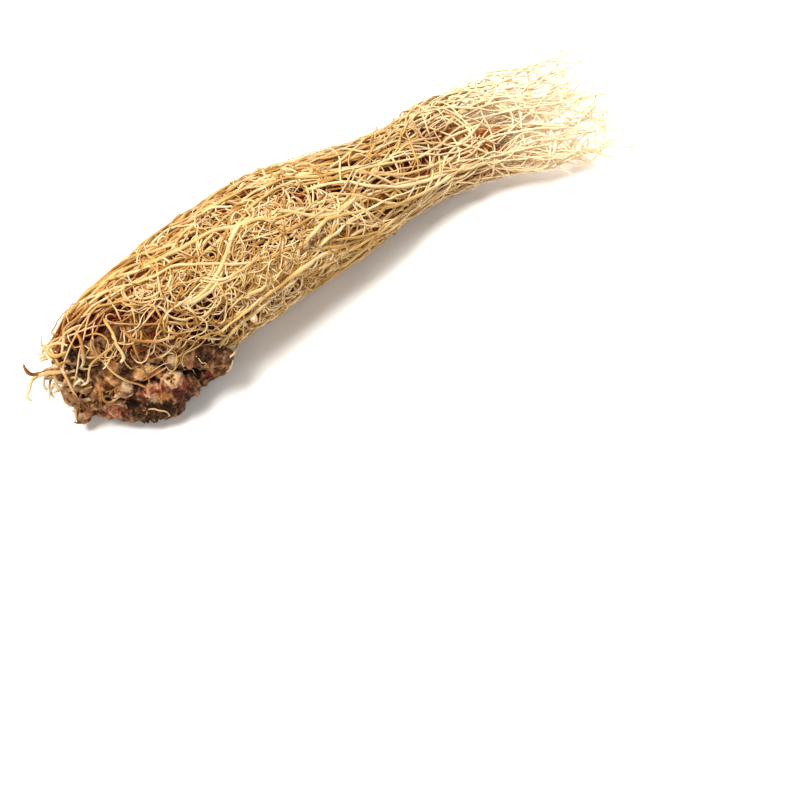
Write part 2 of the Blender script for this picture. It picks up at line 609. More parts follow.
# Long roots: locks of roots that weave along the sheaf together, in layers
longRoots = {
    "locks": 40,
    "perLock": 11,
    "seed": 23,
    "steps": 34,
    "rising": ((8, 0.3), (0.5, 0.7), (2.0, 0.93), (5.5, 0.99)),  # mm past the start, share of the way out
    "risen": 9,
    "sway": (0.1, 0.28),  # how a lock weaves round the sheaf, in radians, and over what lengths
    "swayLengths": (42, 75),
    "spread": (0.1, 0.09),  # how a root strays from its lock, and weaves
    "spreadLengths": (30, 70),
    "deeper": (-0.4, 1.6),
    "startShift": (-1, 10),
    "longOnes": (0.27, 0.07, 0.0),  # the share in each layer that reaches the fringe
    "longEnds": (62, 93),
    "shortEnds": (5, 58),
    "shorterByLayer": 6,
    "layerGap": 1.5,
    "layerShare": 0.12,
    "radii": (0.33, 0.68),
    "tipRadius": 0.17,
    "fray": 3.4,
    "frayOver": (20, 80),
    "frayShares": (0.4, 1.0),
    "frayLengths": (16, 34),
    "fan": 6.0,
    "fanOver": (48, 92),
    "onTop": 0.5,
    "sink": 1.2,
    "sweep": (2.2, 3.2, 13, 1.3, 4.2),
}


def lockPaths():
    own = longRoots
    draw = random.Random(own["seed"])
    layers = ([], [], [])
    for lock in range(own["locks"]):
        layer = lock % 3
        turn = fullTurn * (lock + draw.uniform(-0.3, 0.3)) / own["locks"]
        sway, swayLength = draw.uniform(*own["sway"]), draw.uniform(*own["swayLengths"])
        swayFrom = draw.uniform(0, fullTurn)
        for _ in range(own["perLock"]):
            spread, weave = draw.gauss(0, own["spread"][0]), draw.gauss(0, own["spread"][1])
            weaveLength, weaveFrom = draw.uniform(*own["spreadLengths"]), draw.uniform(0, fullTurn)
            deeper = draw.uniform(*own["deeper"])
            shown = splineRow(firstSeen, math.degrees(turn + spread) % 360)[0]
            start = shown + draw.uniform(*own["startShift"])
            if draw.random() < own["longOnes"][layer]:
                end = draw.uniform(*own["longEnds"])
            else:
                end = draw.uniform(own["shortEnds"][0], own["shortEnds"][1] - own["shorterByLayer"] * layer)
            radius = draw.uniform(*own["radii"])
            fray, frayLength = draw.uniform(*own["frayShares"]), draw.uniform(*own["frayLengths"])
            frayFrom = draw.uniform(0, fullTurn)
            onTop, fan = draw.random() < own["onTop"], draw.uniform(0, own["fan"])
            path, first = [], start + own["risen"]
            along = [(start + past, share) for past, share in own["rising"]]
            along += [(first + (end - first) * k / own["steps"], 1.0) for k in range(own["steps"] + 1)]
            for k, (x, share) in enumerate(along):
                angle = turn + spread + sway * math.sin(fullTurn * x / swayLength + swayFrom)
                angle = (angle + weave * math.sin(fullTurn * x / weaveLength + weaveFrom)) % fullTurn
                height = splineRow(sheafRows, x)[2]
                thick = radius + (own["tipRadius"] - radius) * smoothStep(k / (len(along) - 1), 0.3, 1.0)
                inward = layer * min(own["layerGap"], own["layerShare"] * height) + thick + deeper
                inward += 0 if onTop else own["sink"] * netZone(x, angle)
                point, heart = onSheaf(x, angle, share), onSheaf(x, angle, 0)
                inward = min(inward, (point - heart).length * 0.9)
                point -= (point - heart).normalized() * inward * share
                loose = smoothStep(x, *own["frayOver"]) * own["fray"] * fray
                point.y += loose * math.sin(fullTurn * x / frayLength + frayFrom)
                point.z += loose * 0.45 * math.cos(fullTurn * x / (frayLength * 0.8) + frayFrom)
                point.y -= fan * smoothStep(x, *own["fanOver"]) * max(0.0, -math.cos(angle))
                point.y = min(max(point.y, limits["front"]), limits["back"])
                point.z = max(point.z, thick)
                path.append((point, thick))
            layers[layer].append(path)
    return layers


def makeLongRoots(sweep, skin, innerSkin):
    outer, middling, inner = lockPaths()
    for name, paths, sides, tones, seed, own in (
        ("outerRoots", outer, 6, (0.22, 0.95), 0, skin),
        ("middleRoots", middling, 5, (0.1, 0.75), 1, innerSkin),
        ("innerRoots", inner, 5, (0.0, 0.6), 2, innerSkin),
    ):
        growStrands(name, sweep, paths, longRoots, own, tinted=True, sides=sides, tones=tones, sweepSeed=seed)


# The tangle inside the sheaf, which only shows dark between the roots
innerTangle = {"rings": 150, "strands": 46, "relief": 0.7, "shrink": 1.0, "swayMm": 14, "sway": 2.5}


def makeInnerTangle(skin):
    start, end = matRows[0][0], matRows[-1][0]

    def tangleAt(x, angle):
        across, halfWidth, under, top = splineRow(matRows, x)
        along = (x - start) / (end - start)
        closing = min(1.0, math.sin(math.pi * min(max(along, 0.004), 0.996)) * 5) ** 0.5
        waves = noise.noise(Vector((x / innerTangle["swayMm"], 3 * math.cos(angle), 3 * math.sin(angle))))
        ridge = abs(math.sin(angle * innerTangle["strands"] / 2 + innerTangle["sway"] * waves))
        sink = innerTangle["shrink"] + innerTangle["relief"] * (1 - ridge)
        out = max(halfWidth * closing - sink, 0.05)
        up = max((top - under) / 2 * closing - sink, 0.05)
        return Vector((x, across + out * math.cos(angle), (top + under) / 2 + up * math.sin(angle)))

    piece = formMesh("innerTangle", tangleAt, start, end, innerTangle["rings"], innerTangle["strands"] * 4)
    piece.data.shade_smooth()
    piece.data.materials.append(skin)
    finishPiece(piece, *rootFinish)


# Rootlets: wavy side roots and fine curly ones, matted into a net over the long roots
rootlets = {
    "seed": 5,
    "endDip": 2.4,
    "rises": (0.3, 0.9),
    "stops": (72, 93),
    "puffFrom": (-5, 25),  # fine roots puff out where the sheaf is slim
    "puffTo": (55, 80),
    "wavy": {
        "count": 350, "lengths": (24, 84), "step": 1.8, "curl": 0.07, "radii": (0.26, 0.5),
        "depths": (0.0, 1.7), "turn": 0.17, "puff": 0.8,
    },
    "fringe": {
        "count": 28, "lengths": (12, 36), "step": 1.5, "curl": 0.14, "radii": (0.16, 0.32),
        "depths": (0.0, 3.0), "turn": 0.35, "puff": 0,
    },
    "net": {
        "count": 350, "lengths": (14, 38), "step": 0.9, "curl": 0.2, "radii": (0.18, 0.36),
        "depths": (-0.4, 1.1), "turn": 0.55, "puff": 0,
    },
    "deep": {
        "count": 330, "lengths": (10, 30), "step": 1.0, "curl": 0.2, "radii": (0.2, 0.36),
        "depths": (1.6, 3.4), "turn": 0.8, "puff": 0,
    },
    "loose": {
        "count": 300, "lengths": (8, 22), "step": 0.9, "curl": 0.24, "radii": (0.15, 0.3),
        "depths": (-0.6, 1.2), "turn": 0.5, "puff": 1.0,
    },
    "sweepSeed": 3,
}


def inwardFrom(x, angle, depth):  # a point that lies under the sheaf's surface by so much
    point, heart = onSheaf(x, angle), onSheaf(x, angle, 0)
    way = heart - point
    return point + way.normalized() * min(depth, way.length * 0.9)


def curlyWalk(draw, x, angle, kind, heading):  # a rootlet that wanders over the sheaf
    radius, depth = draw.uniform(*kind["radii"]), draw.uniform(*kind["depths"])
    bend, path = draw.gauss(0, kind["curl"]), []
    rise, riseFrom = draw.uniform(*rootlets["rises"]), draw.uniform(0, fullTurn)
    stop = draw.uniform(*rootlets["stops"])
    steps = max(4, round(draw.uniform(*kind["lengths"]) / kind["step"]))
    for k in range(steps + 1):
        ends = min(k, steps - k) / steps
        wave = rise * math.sin(riseFrom + 0.8 * k)
        dip = rootlets["endDip"] * (1 - min(1.0, ends * 6))
        puff = kind["puff"] * smoothStep(x, *rootlets["puffFrom"]) * (1 - smoothStep(x, *rootlets["puffTo"]))
        puff *= max(0.0, math.sin(angle + 0.9))
        point = inwardFrom(x, angle, max(depth + wave, kind["depths"][0]) + dip - puff)
        point.z = min(max(point.z, radius), limits["rootletTop"])
        point.y = min(point.y, limits["rootletBack"])
        path.append((point, radius * (1 - 0.4 * k / steps)))
        bend = 0.72 * bend + draw.gauss(0, kind["curl"])
        heading += bend
        halfWidth, height = splineRow(sheafRows, x)[1:]
        around = math.hypot(halfWidth * math.sin(angle), height / 2 * math.cos(angle))
        x = max(x + kind["step"] * math.cos(heading), -89)
        if x > stop and k > 2:
            break
        angle = (angle + kind["step"] * math.sin(heading) / around) % fullTurn
    return path


def strewRootlets(draw, name):
    kind, paths = rootlets[name], []
    while len(paths) < kind["count"]:
        x, angle = draw.uniform(-90, 88), draw.uniform(0, fullTurn)
        begins = splineRow(firstSeen, math.degrees(angle))[0]
        zone = netZone(x, angle)
        chance = {
            "wavy": 0.95 * (1 - smoothStep(x, 20, 70)) + 0.05,
            "fringe": smoothStep(x, 20, 60),
            "net": zone,
            "deep": zone,
            "loose": (1 - 0.8 * zone) * (1 - 0.85 * smoothStep(x, 10, 70)),
        }[name]
        if x < begins + 1 or draw.random() > chance:
            continue
        heading = draw.gauss(0, kind["turn"])
        heading += math.pi * (draw.random() < 0.3)
        paths.append(curlyWalk(draw, x, angle, kind, heading))
    return paths


def makeRootlets(sweep, skin, innerSkin):
    draw = random.Random(rootlets["seed"])
    for name, sides, step, kinds, palest, own in (
        ("wavyRoots", 5, 1.7, ("wavy", "fringe"), 1.0, skin), ("rootletNet", 4, 1.1, ("net",), 1.0, skin),
        ("deepRootlets", 4, 1.1, ("deep",), 0.6, innerSkin), ("looseRootlets", 4, 1.1, ("loose",), 1.0, skin),
    ):
        paths = [path for kind in kinds for path in strewRootlets(draw, kind)]
        growStrands(
            name, sweep, paths, rootlets, own, tinted=True, sides=sides, tones=(0.2, palest),
            sweep=(step, 0.7, 5, 0.5, 2.0),
        )


# The rootstock: ringed branches, knobs and scars grown together under one bark
rootstock = {
    "sides": 26,
    "ringStep": 0.5,
    "nodeSpacing": 2.7,
    "nodeHeight": 0.17,
    "nodeWidth": 0.13,
    "nodeDip": 0.3,
    "tipReach": 0.45,
    "tipShare": 0.5,
    "voxel": 0.29,
    "seed": 41,
    "lumps": (3.2, 0.5),  # size and height
    "ridges": (1.5, 0.28),
    "pits": (0.7, 0.07),
    "creaseDepth": 0.24,
    "wornHeight": 0.2,
    "smoothings": 16,
    "shadeReach": 7,
    "shadeRays": 14,
    "missHeight": 8,  # over the table, for a pixel that misses the rootstock
}
barkPatches = {  # where each colour of bark lies: a pixel of the photograph or a spot in mm, and a reach
    "redBark": (
        (147, 391, 3.0), (159, 391, 3.0), (181, 388, 3.2), (190, 369, 1.8), (208, 372, 2.0), (112, 411, 3.0),
        (124, 409, 2.5), (137, 376, 1.5),
    ),
    "tanBark": (
        (171, 378, 3.0), (150, 330, 4.5), (137, 327, 3.5), (166, 331, 4.0), (149, 370, 3.0), (139, 372, 2.4),
        (161, 373, 2.6), (97, 350, 3.0), (116, 368, 2.4), (110, 378, 2.6), (103, 389, 2.6), (96, 398, 2.6),
        (89, 408, 2.6), (84, 413, 2.6), (163, 398, 2.4), (-74, 12, 13, 5.0),
    ),
    "paleBark": (
        (127, 387, 2.2), (154, 399, 1.7), (174, 360, 1.8), (82, 417, 1.4), (73, 364, 2.2), (96, 343, 1.4),
        (-76, 17, 12, 2.0),
    ),
    "soil": (
        (150, 413, 5.0), (135, 408, 3.0), (166, 410, 4.0), (124, 368, 2.4), (139, 384, 2.2), (76, 355, 2.6),
        (186, 396, 3.0), (206, 358, 2.6), (118, 355, 2.6), (-78, 8, 3, 6.0), (-70, 12, 4, 5.0),
    ),
}


def addTube(shape, points, radii, sides):  # a closed tube into a bmesh
    loops, side = [], None
    for k, point in enumerate(points):
        way = (points[min(k + 1, len(points) - 1)] - points[max(k - 1, 0)]).normalized()
        side = (way.orthogonal() if side is None else side - way * side.dot(way)).normalized()
        other, turns = way.cross(side), [fullTurn * j / sides for j in range(sides)]
        ring = [side * math.cos(turn) + other * math.sin(turn) for turn in turns]
        loops.append([shape.verts.new(place(point + out * radii[k])) for out in ring])
    joinLoops(shape, loops)


def branchTube(shape, row, draw):
    lengths = [0.0]
    for first, second in zip(row, row[1:]):
        lengths.append(lengths[-1] + (Vector(second[:3]) - Vector(first[:3])).length)
    rows = [(at, *entry) for at, entry in zip(lengths, row)]
    total = lengths[-1]
    count = round(total / rootstock["ringStep"])
    phase = draw.random()
    points, radii = [], []
    for k in range(count + 1):
        at = total * k / count
        x, y, z, radius = splineRow(rows, at)
        nodes = (at / rootstock["nodeSpacing"] + phase) % 1.0
        ridge = rootstock["nodeHeight"] * (
            math.exp(-((nodes - 0.5) / rootstock["nodeWidth"]) ** 2) - rootstock["nodeDip"]
        )
        ends = min(at, total - at) / radius
        rounding = math.sqrt(max(0.08, 1 - (1 - min(ends * 1.6, 1.0)) ** 2))
        points.append(Vector((x, y, z)))
        radii.append(radius * (1 + ridge) * rounding)
    reach = radii[-1] * rootstock["tipReach"]
    points.append(points[-1] + (points[-1] - points[-2]).normalized() * reach)
    radii.append(radii[-1] * rootstock["tipShare"])
    addTube(shape, points, radii, rootstock["sides"])


def barkMesh():
    draw = random.Random(rootstock["seed"])
    shape = bmesh.new()
    for row in branchRows:
        branchTube(shape, row, draw)
    for spot, radii in [(spot, [radius] * 3) for spot, radius in knobRows] + [(coreMiddle, coreRadii)]:
        matrix = Matrix.Translation(place(spot)) @ Matrix.Diagonal([radius * mm for radius in radii] + [1])
        bmesh.ops.create_icosphere(shape, subdivisions=4, radius=1.0, matrix=matrix)
    made = meshObject("rootstockBark", shape)
    remesh = made.modifiers.new("joined", "REMESH")
    remesh.mode = "VOXEL"
    remesh.voxel_size = rootstock["voxel"] * mm
    smooth = made.modifiers.new("smoothed", "SMOOTH")
    smooth.iterations = 4
    graph = bpy.context.evaluated_depsgraph_get()
    joined = bpy.data.meshes.new_from_object(made.evaluated_get(graph))
    made.modifiers.clear()
    made.data = joined
    return made


# The shape of a scar, as shares of its knob's radius, and its heights in mm on a knob of the full radius
scarShape = {
    "reach": 1.5, "ragged": 0.35, "rimAt": 0.7, "rimWidth": 0.24, "bowlAt": 0.5, "cracks": 4,
    "rimHeight": 0.35, "bowlDepth": 1.2, "fullRadius": 2.9,
}


def scarPush(point):  # a crumbly bowl with a raised rim and cracks across its bottom
    own = scarShape
    for spot, radius, faces, pale in scarRows:
        way = Vector(faces).normalized()
        reach = point - Vector(spot)
        up = reach.dot(way)
        if reach.length > radius * own["reach"] or up < 0:
            continue
        flat = reach - way * up
        side = way.orthogonal().normalized()
        turn = math.atan2(flat.dot(way.cross(side)), flat.dot(side))
        aside = flat.length / radius * (1 + own["ragged"] * noise.noise(point / 0.9))
        rim = math.exp(-((aside - own["rimAt"]) / own["rimWidth"]) ** 2)
        bowl = max(0.0, 1 - (aside / own["bowlAt"]) ** 2) * (0.6 + 0.25 * math.cos(own["cracks"] * turn))
        push = way * (own["rimHeight"] * rim - own["bowlDepth"] * bowl) * radius / own["fullRadius"]
        return push, 0.6 * pale * rim, bowl
    return Vector(), 0.0, 0.0


def sunkenDepths(mesh, rounds):  # how far each point lies under a smoothed copy of the surface, in mm
    shape = bmesh.new()
    shape.from_mesh(mesh)
    rough = [(v.co.copy(), v.normal.copy()) for v in shape.verts]
    for _ in range(rounds):
        bmesh.ops.smooth_vert(
            shape, verts=shape.verts, factor=0.5, use_axis_x=True, use_axis_y=True, use_axis_z=True
        )
    depths = [(v.co - spot).dot(normal) / mm for v, (spot, normal) in zip(shape.verts, rough)]
    shape.free()
    return depths


def hiddenShares(mesh, reach, rays):  # how much of the view from each point other bark shuts off
    spots = [(v.co.copy(), v.normal.copy()) for v in mesh.vertices]
    tree = BVHTree.FromPolygons([spot for spot, _ in spots], [p.vertices[:] for p in mesh.polygons])
    draw = random.Random(3)
    ways = [Vector([draw.gauss(0, 1) for _ in range(3)]).normalized() for _ in range(rays)]
    found = []
    for spot, normal in spots:
        start = spot + normal * 0.12 * mm
        shut = sum(tree.ray_cast(start, normal + way, reach * mm)[0] is not None for way in ways)
        found.append(shut / rays)
    return found


def pixelHit(tree, px, py, height):  # where a pixel's ray meets a form, or the form nearest to it at a height
    start, way = pixelRay(px, py)
    hit = tree.ray_cast(place(start), way)[0]
    if hit is None:
        hit = tree.find_nearest(place(start + way * ((height - start.z) / way.z)))[0]
    return hit / mm + middle, way


def patchSpot(tree, row):  # a patch's middle, in mm, and its reach
    if len(row) == 4:
        return Vector(row[:3]), row[3]
    return pixelHit(tree, *row[:2], rootstock["missHeight"])[0], row[2]


def roughenBark(made):
    mesh = made.data
    scars, hollows = [], []
    normals = [spot.normal.copy() for spot in mesh.vertices]
    (lumpSize, lumpHeight), (ridgeSize, ridgeHeight) = rootstock["lumps"], rootstock["ridges"]
    pitSize, pitHeight = rootstock["pits"]
    for spot, normal in zip(mesh.vertices, normals):
        point = spot.co / mm + middle
        push, rim, bowl = scarPush(point)
        lumps = noise.fractal(point / lumpSize, 0.8, 2.0, 3)
        ridges = 0.5 - abs(noise.noise(point / ridgeSize))
        pits = noise.noise(point / pitSize)
        spot.co += (push + normal * (lumpHeight * lumps + ridgeHeight * ridges + pitHeight * pits)) * mm
        scars.append(rim)
        hollows.append(bowl)
    near = sunkenDepths(mesh, rootstock["smoothings"])
    shut = hiddenShares(mesh, rootstock["shadeReach"], rootstock["shadeRays"])
    creases = []
    for depth, share, bowl in zip(near, shut, hollows):
        sunk = max(depth / rootstock["creaseDepth"], 0.0)
        creases.append(min(1.0, sunk * 0.6 + 0.9 * smoothStep(share, 0.25, 0.7) + bowl * 0.5))
    setPointValues(mesh, "crease", creases)
    setPointValues(mesh, "ridge", [min(1.0, max(-depth / rootstock["wornHeight"], 0.0)) for depth in near])
    setPointValues(mesh, "paleScar", scars)
    tree = formTree([made])
    for name, rows in barkPatches.items():
        values, patches = [], [patchSpot(tree, row) for row in rows]
        for k, spot in enumerate(mesh.vertices):
            point = spot.co / mm + middle
            edge = 1 + 0.3 * noise.noise(point / 1.6)
            inside = max(1 - (point - where).length / (reach * edge) for where, reach in patches)
            value = smoothStep(inside, 0.0, 0.4)
            if name == "soil":
                value = min(1.0, value + 0.5 * creases[k] * smoothStep(-point.z, -9, -3))
            values.append(value)
        setPointValues(mesh, name, values)


def makeRootstock(skin):
    piece = barkMesh()
    roughenBark(piece)
    piece.data.shade_smooth()
    piece.data.materials.append(skin)
    print("rootstockBark faces", len(piece.data.polygons))
    finishPiece(piece, *barkFinish)
    return piece


# Soil crumbs and torn papery scales that cling to the bark
clinging = {
    "crumbs": {"Density": 0.9, "Smallest": 0.14, "Largest": 0.5, "Tilt": 3.0, "Seed": 8},
    "scales": {"Density": 0.05, "Smallest": 1.0, "Largest": 2.6, "Tilt": 0.55, "Seed": 4},
    "scalesEnd": (68, 78),  # scales cling at the blunt end, over these distances from the middle
    "scalesLow": (-9, -4),  # and low down
}


def crumbPiece():
    shape = bmesh.new()
    bmesh.ops.create_icosphere(shape, subdivisions=2, radius=1.0)
    return meshObject("crumb", shape, hidden=True)


def scalePiece():  # a thin cupped scale, pointed at one end, one unit long
    shape = bmesh.new()
    columns, rows, thick = 5, 6, 0.09
    line = [2 * j / columns - 1 for j in range(columns + 1)]
    loops = []
    for i in range(rows + 1):
        along = i / rows
        half = 0.55 * math.sin(math.pi * (0.12 + 0.86 * along)) ** 0.8
        loops.append([])
        for across, lift in [(at, 0.0) for at in line] + [(at, thick) for at in line[::-1]]:
            up = 0.32 * across**2 + 0.28 * along**2 + lift
            loops[-1].append(shape.verts.new((half * across, along - 0.5, up)))
    joinLoops(shape, loops, capped=False)
    for loop in (loops[0], loops[-1]):
        for j in range(columns):
            shape.faces.new((loop[j], loop[j + 1], loop[-2 - j], loop[-1 - j]))
    bmesh.ops.recalc_face_normals(shape, faces=shape.faces)
    return meshObject("scale", shape, hidden=True)


def makeClinging(bark, soilSkin, scaleSkin):
    scaly = [
        max(0.0, spot.normal.z + 0.4) * max(
            smoothStep(-spot.co.x / mm, *clinging["scalesEnd"]),
            smoothStep(-spot.co.z / mm, *clinging["scalesLow"]),
        ) for spot in bark.data.vertices
    ]
    setPointValues(bark.data, "scaly", scaly)
    tree = strewTree()
    for name, source, own, strewing, skin in (
        ("soilCrumbs", crumbPiece(), clinging["crumbs"], "soil", soilSkin),
        ("barkScales", scalePiece(), clinging["scales"], "scaly", scaleSkin),
    ):
        piece = grow(name, tree, {
            **own, "Form": bark, "Piece": source, "Strewing": strewing, "Density": own["Density"] / mm**2,
            "Smallest": own["Smallest"] * mm, "Largest": own["Largest"] * mm, "Skin": skin,
        })
        piece.data.shade_smooth()
        for spot in piece.data.vertices:
            spot.co.z = max(spot.co.z, 0.0)
        finishPiece(piece, *barkFinish)
        bpy.data.objects.remove(source)


# Fine rootlets that creep over the bark
barkRootlets = {
    "seed": 19, "count": 45, "step": 0.8, "lengths": (4, 15), "radii": (0.12, 0.26), "arches": (0.2, 1.4),
    "curl": 0.24,
    "sweep": (0.9, 0.5, 5, 0.4, 1.8), "sides": 5, "tones": (0.1, 0.9), "sweepSeed": 12,
}


def barkWalk(draw, tree, start, normal):  # a rootlet that wanders over the bark, arched off it
    radius = draw.uniform(*barkRootlets["radii"])
    steps = round(draw.uniform(*barkRootlets["lengths"]) / barkRootlets["step"])
    heading = normal.orthogonal().normalized()
    heading.rotate(Matrix.Rotation(draw.uniform(0, fullTurn), 3, normal))
    arch, bend, path, spot = draw.uniform(*barkRootlets["arches"]), 0.0, [], start
    for k in range(steps + 1):
        ends = min(k, steps - k) / steps
        lift = radius * 0.6 + arch * math.sin(math.pi * k / steps) - 0.5 * (1 - min(1.0, ends * 4))
        point = spot / mm + middle + normal * lift
        point.z = max(point.z, radius)
        path.append((point, radius * (1 - 0.35 * k / steps)))
        bend = 0.7 * bend + draw.gauss(0, barkRootlets["curl"])
        heading.rotate(Matrix.Rotation(bend, 3, normal))
        spot, normal, _, _ = tree.find_nearest(spot + (heading * barkRootlets["step"] + normal * 0.3) * mm)
        heading = (heading - normal * heading.dot(normal)).normalized()
    return path


def makeBarkRootlets(bark, sweep, skin):
    draw = random.Random(barkRootlets["seed"])
    tree = formTree([bark])
    faces, paths = bark.data.polygons, []
    while len(paths) < barkRootlets["count"]:
        face = faces[draw.randrange(len(faces))]
        if face.center.z > 3 * mm and draw.random() < (face.center.z / (22 * mm)) ** 2:
            paths.append(barkWalk(draw, tree, face.center.copy(), face.normal.copy()))
    growStrands("barkRootlets", sweep, paths, barkRootlets, skin)


# Roots placed one by one where the photograph shows them: width in mm, then pixels of the photograph
sheafStrands = (
    (1.4, ((90, 303), (107, 291), (128, 285), (154, 276), (173, 267), (191, 265), (216, 264), (238, 264),
           (270, 258))),
    (1.9, ((140, 268), (155, 260), (170, 253), (193, 242), (216, 230), (239, 225), (270, 215))),
    (0.9, ((154, 242), (147, 253), (149, 258), (157, 262), (158, 277), (160, 293), (169, 306))),
    (1.0, ((146, 285), (136, 287), (135, 293), (139, 299), (150, 298), (159, 292), (168, 288))),
    (0.9, ((90, 308), (105, 305), (127, 301), (142, 303), (161, 299), (172, 303))),
    (2.0, ((216, 326), (239, 314), (255, 305), (270, 293), (296, 274), (320, 256), (342, 246))),
    (1.3, ((176, 305), (199, 295), (216, 284), (239, 272), (262, 254), (285, 243))),
    (0.8, ((190, 291), (197, 281), (205, 274), (222, 269), (251, 267), (275, 262))),
    (0.9, ((163, 323), (165, 318), (170, 311), (188, 299), (205, 288))),
    (1.4, ((124, 280), (124, 291), (127, 299), (136, 304))),
    (1.1, ((250, 195), (269, 185), (288, 178), (320, 177), (339, 172), (358, 170), (378, 177), (397, 186),
           (415, 194))),
    (1.3, ((238, 215), (250, 208), (265, 196), (282, 185), (300, 180))),
    (1.2, ((321, 177), (332, 166), (347, 155), (365, 140), (384, 130))),
    (1.0, ((250, 240), (269, 234), (292, 224), (307, 209), (321, 199), (333, 196), (339, 201), (338, 219),
           (337, 238))),
    (0.9, ((230, 246), (250, 240), (269, 235), (292, 227), (301, 219))),
    (1.2, ((340, 164), (358, 157), (378, 155), (397, 147), (416, 141), (441, 136))),
    (1.5, ((305, 190), (321, 186), (346, 182), (371, 186), (403, 186), (435, 177), (455, 170))),
    (1.2, ((318, 197), (333, 194), (365, 196), (390, 203), (416, 207))),
    (0.8, ((325, 226), (342, 224), (371, 226), (390, 228))),
    (1.3, ((347, 256), (365, 247), (378, 232), (385, 224), (409, 218), (429, 205), (440, 192))),
    (1.3, ((172, 226), (200, 212), (230, 198), (260, 180), (280, 172))),
    (1.2, ((120, 256), (140, 242), (156, 234), (188, 222), (212, 208), (232, 206))),
    (1.4, ((106, 272), (126, 260), (144, 254), (164, 248), (188, 238))),
    (1.5, ((86, 288), (108, 280), (136, 272), (154, 264))),
    (1.1, ((180, 288), (200, 278), (220, 280), (240, 272), (260, 260))),
    (1.3, ((232, 236), (250, 222), (280, 218), (300, 210), (326, 200))),
    (1.2, ((200, 296), (212, 288), (228, 280), (252, 272), (270, 260))),
    (1.4, ((264, 246), (290, 230), (318, 214), (338, 200))),
    (1.4, ((301, 230), (328, 220), (355, 212), (401, 203), (446, 180), (469, 162))),
    (1.3, ((328, 180), (374, 166), (419, 157), (455, 135), (480, 124))),
    (1.2, ((265, 175), (301, 162), (346, 153), (387, 139), (420, 120))),
    (1.3, ((410, 212), (437, 185), (446, 157), (465, 139), (485, 118))),
    (1.1, ((355, 144), (396, 132), (428, 121), (462, 98))),
    (1.3, ((283, 180), (337, 171), (396, 175), (442, 162), (483, 144))),
    (1.0, ((465, 166), (492, 157), (528, 148), (574, 139))),
    (1.0, ((469, 148), (501, 135), (546, 128), (596, 132))),
    (0.9, ((465, 121), (505, 112), (555, 103), (596, 94))),
    (0.9, ((460, 112), (492, 98), (533, 94), (574, 80))),
    (0.8, ((474, 180), (510, 175), (555, 171), (578, 178))),
    (1.1, ((434, 146), (432, 172), (429, 187), (420, 207))),
    (1.5, ((439, 156), (441, 172), (435, 191), (422, 207))),
    (0.7, ((422, 99), (439, 86), (471, 71), (509, 67), (530, 67), (555, 64), (572, 60))),
    (0.7, ((566, 45), (563, 62), (558, 76), (553, 84), (540, 103), (514, 127), (497, 142))),
    (0.6, ((571, 48), (577, 58), (588, 66), (592, 78), (590, 99))),
    (0.8, ((471, 95), (497, 94), (528, 98), (548, 96), (573, 93), (590, 93))),
    (0.9, ((500, 127), (530, 124), (560, 126), (585, 130))),
    (0.7, ((482, 162), (510, 160), (545, 157), (572, 152))),
)
crownStrands = (
    (1.3, ((103, 317), (107, 324), (115, 338), (117, 345), (124, 356), (121, 362))),
    (0.9, ((117, 340), (110, 349), (99, 358), (91, 365), (87, 381), (81, 386))),
    (0.8, ((85, 335), (98, 334), (106, 338), (109, 346), (105, 358))),
    (0.7, ((117, 347), (110, 360), (103, 369))),
    (1.2, ((124, 328), (130, 338), (146, 342), (162, 340), (178, 334))),
    (0.8, ((165, 313), (163, 322), (166, 331), (178, 333), (190, 331), (206, 328))),
    (0.6, ((174, 349), (178, 338), (187, 340), (199, 342))),
    (1.0, ((103, 393), (104, 400), (111, 402), (122, 395))),
    (0.8, ((62, 344), (64, 335), (72, 328), (84, 324))),
    (1.3, ((76, 329), (81, 344), (84, 361), (82, 368))),
    (1.2, ((85, 307), (78, 318), (66, 327), (63, 341), (62, 356))),
    (0.9, ((190, 344), (203, 336), (217, 333), (232, 337), (240, 344), (236, 353), (222, 361))),
    (1.6, ((218, 345), (232, 332), (243, 322), (258, 310), (275, 296))),
    (1.4, ((226, 349), (240, 337), (256, 322), (272, 312), (290, 298))),
    (1.2, ((210, 339), (226, 328), (240, 316), (252, 306), (264, 294))),
    (1.5, ((23, 364), (27, 372), (34, 375), (45, 371), (54, 367), (66, 366))),
    (1.8, ((68, 372), (50, 373), (38, 376), (31, 382), (29, 390), (26, 397), (31, 401))),
    (1.6, ((66, 352), (57, 356), (48, 353), (41, 348), (35, 350))),
    (1.5, ((68, 346), (58, 343), (50, 346), (46, 354), (52, 361))),
    (1.4, ((70, 362), (60, 364), (54, 372), (56, 381), (63, 384))),
)
crescentScales = (  # the edges of curved papery scales
    (2.2, ((66, 378), (64, 387), (69, 396), (79, 401), (90, 399))),
    (1.8, ((74, 381), (76, 388), (84, 392), (92, 389))),
    (1.9, ((62, 391), (68, 402), (79, 407))),
    (1.7, ((104, 408), (112, 403), (122, 405), (128, 411))),
    (1.5, ((112, 398), (120, 394), (128, 396))),
)
cutRootEnds = (  # broken ends: width in mm, then each point's pixel and how far it stands out in mm
    (2.1, ((256, 322, -3.5), (252, 316, 1.3))),
    (1.2, ((246, 326, -2.5), (241, 321, 0.7))),
    (1.4, ((226, 355, -1.0), (231, 361, 0.8), (236, 369, 1.6))),
)
sheathFlake = (  # a torn sheath over the roots, in the same way
    (1.3, ((325, 234, -1.2), (314, 241, 0.3), (307, 247, 0.4), (299, 254, -0.6))),
    (0.9, ((318, 241, -0.2), (309, 244, 0.6), (300, 250, -0.4))),
)
